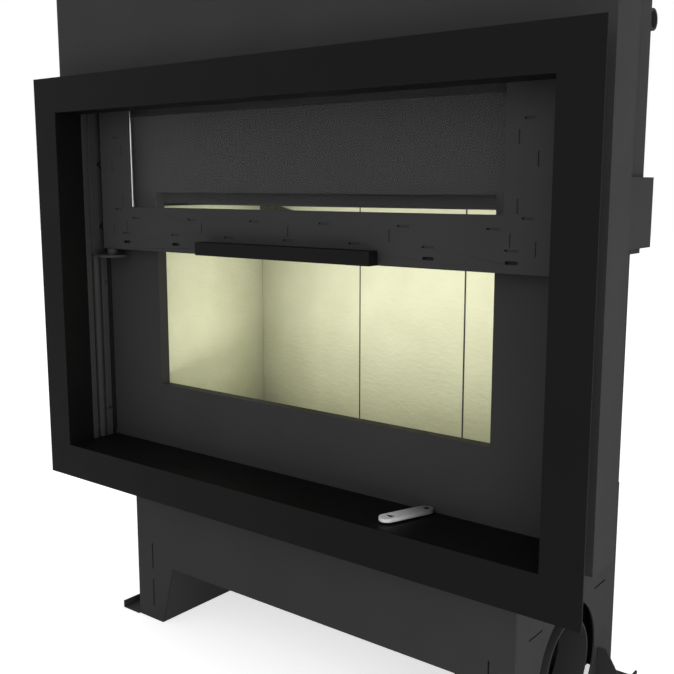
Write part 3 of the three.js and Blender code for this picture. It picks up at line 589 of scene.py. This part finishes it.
def make_counterweights():
    """Each weight is a stack of cut plates on a rod."""
    steel = MATERIALS["raw_steel"]
    count, gap = 18, 0.0005
    for side in SIDES:
        low, high = (Vector(corner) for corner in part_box(f"counterweight_{side}"))
        step = (high.z - low.z) / count
        bm = bmesh.new()
        for k in range(count):
            z0 = low.z + k * step
            block(bm, Vector((low.x, low.y, z0)), Vector((high.x, high.y, z0 + step - gap)), 0.0006)
        middle = (low + high) / 2
        rod_profile = [(0.004, 0), (0.004, high.z - low.z - 0.001)]
        turned(bm, rod_profile, Vector((middle.x, middle.y, low.z + 0.0005)), (0, 0, 1))
        weight = finish_piece(f"weight_plates_{side}", bm, f"weight_{side}", steel)
        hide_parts(f"counterweight_{side}")


# ---------- air lever ----------
def make_lever_details():
    pivot = LEVER["pivot"] + Vector((0, 0, LEVER["top"] / 1000))
    bm = bmesh.new()
    screw(bm, pivot - Vector((0, 0, 0.002)), (0, 0, 1), 0.0038, 0.0024)
    finish_piece("lever_screw", bm, "air_control_lever", MATERIALS["bolt"])
    turn = Matrix.Rotation(LEVER["turn"], 3, "Z")
    arrow = [(-7.5, -66.2), (4.7, -66.8), (4.2, -58.7)]
    bm = bmesh.new()
    for height in (0.0, 0.00012):
        ring = [bm.verts.new(pivot + turn @ Vector((x / 1000, y / 1000, height))) for x, y in arrow]
        bm.faces.new(ring if height else ring[::-1])
    bm.verts.ensure_lookup_table()
    for k in range(3):
        j = (k + 1) % 3
        bm.faces.new((bm.verts[k], bm.verts[j], bm.verts[3 + j], bm.verts[3 + k]))
    finish_piece("lever_arrow", bm, "air_control_lever", MATERIALS["bolt"])


# ---------- lining joints, seals, screws and welds ----------
def make_lining_joints():
    """Dark strips in the upright joints of the back boards: painted shade standing in for the shade in
    the gaps.
    """
    low, high = (Vector(corner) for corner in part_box("lining_back_middle"))
    bm = bmesh.new()
    half, front = 0.0013, low.y - 0.0003
    for x in (low.x, high.x):
        near = Vector((x - half, front, low.z + 0.001))
        far = Vector((x + half, front + 0.004, high.z - 0.001))
        block(bm, near, far, 0.0001)
    finish_piece("lining_joints", bm, "firebox", MATERIALS["joint"])


def make_door_seal():
    """The cord round the back of the door."""
    half, low, high = 436, DOOR_BOTTOM + 5, DOOR_BOTTOM + 578
    corners = [at(x, 95.3, z) for x, z in ((-half, low), (half, low), (half, high), (-half, high))]
    bm = bmesh.new()
    bar(bm, sampled(corners, 0.01, closed=True), lambda s, a: 0.0012, 10, closed=True)
    finish_piece("door_seal_rope", bm, "door", MATERIALS["rope"])


FLUE_Y = 275
CHANNEL_BACK = 473
MANIFOLD_BACK = 490
UP, BACK = (0, 0, 1), (0, 1, 0)


def make_housing_screws():
    lid = [at(x, y, 1515) for x in (-480, -300, -100, 100, 300, 480) for y in (62, 186)]
    screws("lid_screws", lid, UP, 0.0048, 0.0022, material="body_paint")
    collar = [at(0, FLUE_Y, 1133.3) + Vector(offset) for offset in ring_offsets(0.1125, 6)]
    screws("collar_screws", collar, UP, 0.0042, 0.002)
    rear = [at(x, CHANNEL_BACK, z) for x in (-360, -180, 0, 180, 360) for z in (850, 1010, 1118)]
    screws("channel_screws", rear, BACK, 0.0042, 0.002, material="body_paint")
    manifold = [at(x, MANIFOLD_BACK, z) for x in (-376, -188, 0, 188, 376) for z in (718, 804)]
    screws("manifold_screws", manifold, BACK, 0.0036, 0.0018, material="body_paint")


def ring_offsets(radius, count):
    angles = [2 * math.pi * (k + 0.5) / count for k in range(count)]
    return [(radius * math.cos(a), radius * math.sin(a), 0) for a in angles]


def make_welds():
    """Short beads on the shell's back edge and a bead round the flue collar."""
    seams = [(x, 22, 433, 1129.2) for x in (-320, -160, 0, 160, 320)]
    seams += [(sign * 120, 18, 433.4, 700) for sign in SIDES.values()]
    bm = bmesh.new()
    for x, half, y, z in seams:
        bead(bm, sampled([at(x - half, y, z), at(x + half, y, z)], 0.0014), 0.0016, 0.0042, 0.16)
    finish_weld("shell_welds", bm)
    bm = bmesh.new()
    bead(bm, circle(at(0, FLUE_Y, 1133.6), 0.1006, 150), 0.0018, 0.0046, 0.15, closed=True)
    finish_weld("collar_weld", bm)


make_rail_details()
make_spacer_sleeves()
make_slot_tabs()
make_cables()
make_counterweights()
make_lever_details()
make_lining_joints()
make_door_seal()
make_housing_screws()
make_welds()


# ---------- stage and light ----------
def floor_material():
    """White for the camera, except where the object's shadow falls."""
    m = Mat("floor")
    path = m.add("ShaderNodeLightPath")
    add = m.add("ShaderNodeAddShader")
    diffuse = m.add("ShaderNodeBsdfDiffuse", Color=(0.9, 0.9, 0.9, 1.0))
    glow = m.add("ShaderNodeEmission", Color=(1.0, 1.0, 1.0, 1.0))
    seen = m.add("ShaderNodeMath", operation="MULTIPLY")
    m.link(path.outputs["Is Camera Ray"], seen.inputs[0])
    seen.inputs[1].default_value = 0.62
    m.link(seen.outputs[0], glow.inputs["Strength"])
    m.link(diffuse.outputs[0], add.inputs[0])
    m.link(glow.outputs[0], add.inputs[1])
    m.link(add.outputs[0], m.tree.nodes["Material Output"].inputs["Surface"])
    return m.mat


def make_floor():
    mesh = bpy.data.meshes.new("floor")
    size = 14.0  # metres from the middle to each edge
    corners = [(-size, -size), (size, -size), (size, size), (-size, size)]
    mesh.from_pydata([(x, y, -0.0005) for x, y in corners], [], [(0, 1, 2, 3)])
    floor = bpy.data.objects.new("floor", mesh)
    bpy.context.scene.collection.objects.link(floor)
    dress(floor, floor_material())


def make_world():
    world = bpy.data.worlds.new("studio")
    world.use_nodes = True
    tree = world.node_tree
    tree.nodes.clear()
    path = tree.nodes.new("ShaderNodeLightPath")
    top = tree.nodes.new("ShaderNodeMath")
    top.operation = "MAXIMUM"
    tree.links.new(path.outputs["Is Camera Ray"], top.inputs[0])
    tree.links.new(path.outputs["Is Transmission Ray"], top.inputs[1])
    mix = tree.nodes.new("ShaderNodeMixShader")
    tree.links.new(top.outputs[0], mix.inputs["Fac"])
    for strength, socket in ((0.62, mix.inputs[1]), (1.0, mix.inputs[2])):
        sky = tree.nodes.new("ShaderNodeBackground")
        sky.inputs["Color"].default_value = (1.0, 1.0, 1.0, 1.0)
        sky.inputs["Strength"].default_value = strength
        tree.links.new(sky.outputs[0], socket)
    out = tree.nodes.new("ShaderNodeOutputWorld")
    tree.links.new(mix.outputs[0], out.inputs["Surface"])
    bpy.context.scene.world = world


def area_light(name, place, target, size, power, hidden=False):
    data = bpy.data.lights.new(name, "AREA")
    data.shape = "RECTANGLE"
    data.size, data.size_y = size
    data.energy = power
    light = bpy.data.objects.new(name, data)
    bpy.context.scene.collection.objects.link(light)
    light.location = place
    aim = Vector(target) - Vector(place)
    light.rotation_euler = aim.to_track_quat("-Z", "Y").to_euler()
    if hidden:
        light.visible_camera = False
        light.visible_glossy = False
        light.visible_transmission = False


make_floor()
make_world()
# The last three lamps stay out of the picture and its reflections; two of them stand in the fire chamber.
area_light("key", (1.5, -3.4, 1.9), (0.0, 0.0, 0.6), (2.6, 2.0), 28.0)
area_light("side", (3.4, -0.6, 1.4), (0.4, 0.0, 0.7), (1.6, 2.0), 11.0)
area_light("low", (1.9, -1.2, 0.16), (-0.3, -0.05, 0.06), (1.0, 0.25), 11.5, hidden=True)
area_light("chamber_back", at(90, 150, 665), at(90, 409, 655), (0.45, 0.06), 0.74, hidden=True)
area_light("chamber_side", at(-60, 125, 620), at(-361, 190, 560), (0.06, 0.06), 0.24, hidden=True)

bpy.context.scene.view_settings.view_transform = "Standard"
